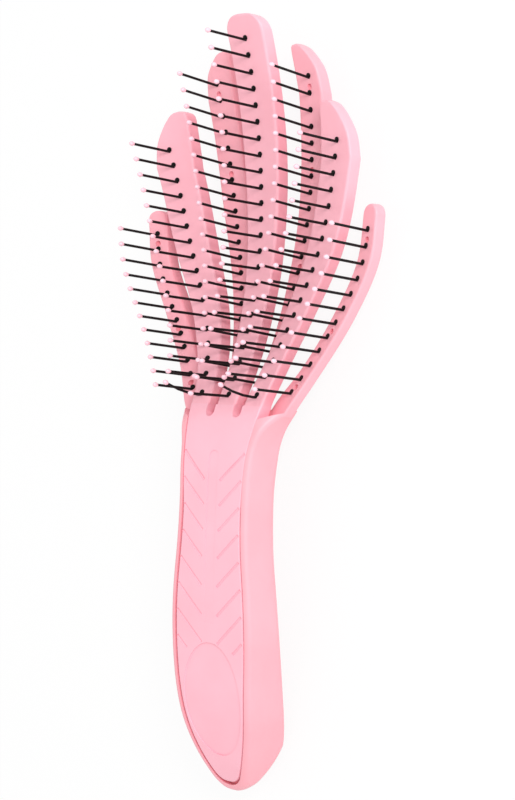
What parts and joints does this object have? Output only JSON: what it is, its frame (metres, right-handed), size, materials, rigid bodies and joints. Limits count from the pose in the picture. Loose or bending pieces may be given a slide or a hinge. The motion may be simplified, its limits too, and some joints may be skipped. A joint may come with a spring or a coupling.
{
  "type": "detangling brush",
  "caption": "Vented detangling hair brush: springy curved fingers in a front and a rear layer, rows of thin soft-tipped pins, and a hollow handle closed by a grip panel.",
  "frame": {"origin": "bottom centre of the whole brush's box, with the brush lying on its back", "axes": "+Y along the handle to the tip of the head, +X across the head, +Z the way the pins point"},
  "size_m": [0.0924, 0.23, 0.0383],
  "materials": {
    "shell_pink": "satin moulded plastic",
    "panel_pink": "satin moulded plastic with pressed chevron grooves",
    "front_finger_pink": "satin moulded plastic",
    "rear_finger_pink": "satin moulded plastic",
    "pin_black": "smooth nylon",
    "tip_pink": "soft dipped tip"
  },
  "bodies": {
    "handle": {"rear_shell": "shell_pink", "front_panel": "panel_pink"},
    "front_centre": {"finger_front_centre": "front_finger_pink", "pins_front_centre": "pin_black", "tips_front_centre": "tip_pink"},
    "front_outer_right": {"finger_front_outer_right": "front_finger_pink", "pins_front_outer_right": "pin_black", "tips_front_outer_right": "tip_pink"},
    "front_outer_left": {"finger_front_outer_left": "front_finger_pink", "pins_front_outer_left": "pin_black", "tips_front_outer_left": "tip_pink"},
    "rear_inner_right": {"finger_rear_inner_right": "rear_finger_pink", "pins_rear_inner_right": "pin_black", "tips_rear_inner_right": "tip_pink"},
    "rear_inner_left": {"finger_rear_inner_left": "rear_finger_pink", "pins_rear_inner_left": "pin_black", "tips_rear_inner_left": "tip_pink"},
    "rear_outer_right": {"finger_rear_outer_right": "rear_finger_pink", "pins_rear_outer_right": "pin_black", "tips_rear_outer_right": "tip_pink"},
    "rear_outer_left": {"finger_rear_outer_left": "rear_finger_pink", "pins_rear_outer_left": "pin_black", "tips_rear_outer_left": "tip_pink"}
  },
  "joints": [
    {"name": "flex_front_centre", "type": "hinge", "parent": "handle", "child": "front_centre", "pos_m": [0, -0.0004, 0.02032], "axis": [1, 0, 0], "range_deg": [-7, 7], "stiffness_Nm_per_rad": 2.5},
    {"name": "flex_front_outer_right", "type": "hinge", "parent": "handle", "child": "front_outer_right", "pos_m": [0.01042, -0.0004, 0.02019], "axis": [1, 0, 0], "range_deg": [-7, 7], "stiffness_Nm_per_rad": 2},
    {"name": "flex_front_outer_left", "type": "hinge", "parent": "handle", "child": "front_outer_left", "pos_m": [-0.01042, -0.0004, 0.02019], "axis": [1, 0, 0], "range_deg": [-7, 7], "stiffness_Nm_per_rad": 2},
    {"name": "flex_rear_inner_right", "type": "hinge", "parent": "handle", "child": "rear_inner_right", "pos_m": [0.00519, -0.0004, 0.01475], "axis": [1, 0, 0], "range_deg": [-7, 7], "stiffness_Nm_per_rad": 1.6},
    {"name": "flex_rear_inner_left", "type": "hinge", "parent": "handle", "child": "rear_inner_left", "pos_m": [-0.00519, -0.0004, 0.01475], "axis": [1, 0, 0], "range_deg": [-7, 7], "stiffness_Nm_per_rad": 1.6},
    {"name": "flex_rear_outer_right", "type": "hinge", "parent": "handle", "child": "rear_outer_right", "pos_m": [0.01874, 0.0026, 0.01415], "axis": [0.866, -0.5, 0], "range_deg": [-7, 7], "stiffness_Nm_per_rad": 1.2},
    {"name": "flex_rear_outer_left", "type": "hinge", "parent": "handle", "child": "rear_outer_left", "pos_m": [-0.01874, 0.0026, 0.01415], "axis": [0.866, 0.5, 0], "range_deg": [-7, 7], "stiffness_Nm_per_rad": 1.2}
  ]
}
